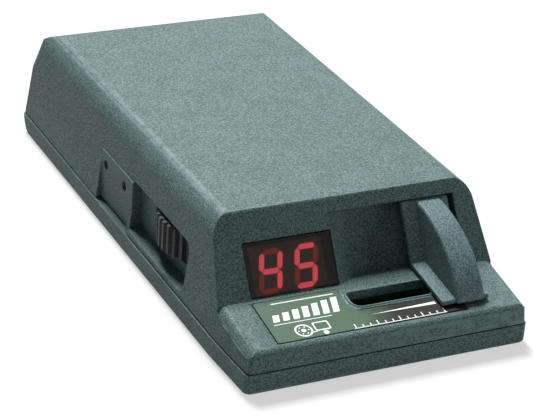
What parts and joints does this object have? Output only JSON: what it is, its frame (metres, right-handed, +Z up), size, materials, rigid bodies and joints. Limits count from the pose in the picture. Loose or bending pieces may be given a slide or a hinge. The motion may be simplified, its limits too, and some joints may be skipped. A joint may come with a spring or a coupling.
{
  "type": "trailer brake controller unit",
  "caption": "In-cab brake controller box with a raked front face, two-digit display, sliding manual lever, side gain wheel and a rear blade inlet",
  "frame": {"origin": "middle of the underside's bounding rectangle, on the surface the box stands on", "axes": "+X right and +Y back as the driver sees the box, +Z up; the nose points to -Y"},
  "size_m": [0.0816, 0.164, 0.0338],
  "materials": {
    "shell_plastic": "fine spark-textured charcoal ABS",
    "label_film": "satin printed film",
    "smoked_lens": "clear smoked red acrylic",
    "digit_module": "red lit segments in a dark epoxy block",
    "board_laminate": "green solder mask on glass laminate",
    "ribbon_vinyl": "grey vinyl",
    "lever_plastic": "satin moulded charcoal plastic",
    "slide_nylon": "natural nylon",
    "zinc_steel": "bright zinc plated",
    "pot_case": "moulded phenolic",
    "wheel_plastic": "knurled black plastic",
    "black_epoxy": "moulded black resin",
    "relay_case": "moulded blue polyester",
    "capacitor_sleeve": "shrunk dark sleeve",
    "sink_aluminium": "extruded, unpainted",
    "tinned_brass": "tinned"
  },
  "bodies": {
    "housing": {"upper_housing": "shell_plastic", "bottom_tray": "shell_plastic", "label_plate": "label_film", "display_lens": "smoked_lens", "digit_display": "digit_module", "display_board": "board_laminate", "display_ribbon": "ribbon_vinyl", "slide_frame": "zinc_steel", "guide_rail": "zinc_steel", "return_spring": "zinc_steel", "slide_pot": "pot_case", "gain_pot": "pot_case", "main_board": "board_laminate", "microcontroller": "black_epoxy", "clock_crystal": "zinc_steel", "stoplight_relay": "relay_case", "current_shunt": "zinc_steel", "flyback_diode": "black_epoxy", "smoothing_capacitor_1": "capacitor_sleeve", "smoothing_capacitor_2": "capacitor_sleeve", "heat_sink": "sink_aluminium", "output_transistor_1": "black_epoxy", "output_transistor_2": "black_epoxy", "transistor_screw_1": "zinc_steel", "transistor_screw_2": "zinc_steel", "connector_shell": "black_epoxy", "blade_terminal_1": "tinned_brass", "blade_terminal_2": "tinned_brass", "blade_terminal_3": "tinned_brass", "blade_terminal_4": "tinned_brass", "housing_screw_1": "zinc_steel", "housing_screw_2": "zinc_steel", "housing_screw_3": "zinc_steel", "housing_screw_4": "zinc_steel", "board_screw_1": "zinc_steel", "board_screw_2": "zinc_steel", "board_screw_3": "zinc_steel"},
    "lever": {"manual_lever": "lever_plastic", "lever_carriage": "slide_nylon", "pot_slider": "slide_nylon"},
    "wheel": {"gain_wheel": "wheel_plastic", "gain_shaft": "slide_nylon"}
  },
  "joints": [
    {"name": "lever_slide", "type": "slide", "parent": "housing", "child": "lever", "axis": [-1, 0, 0], "range_m": [0, 0.018], "stiffness_N_per_m": 90, "springref_m": -0.006, "deforming": ["return_spring"]},
    {"name": "gain_turn", "type": "hinge", "parent": "housing", "child": "wheel", "pos_m": [-0.0223, -0.025, 0.0162], "axis": [0, 0, 1], "range_deg": [-135, 135]}
  ]
}
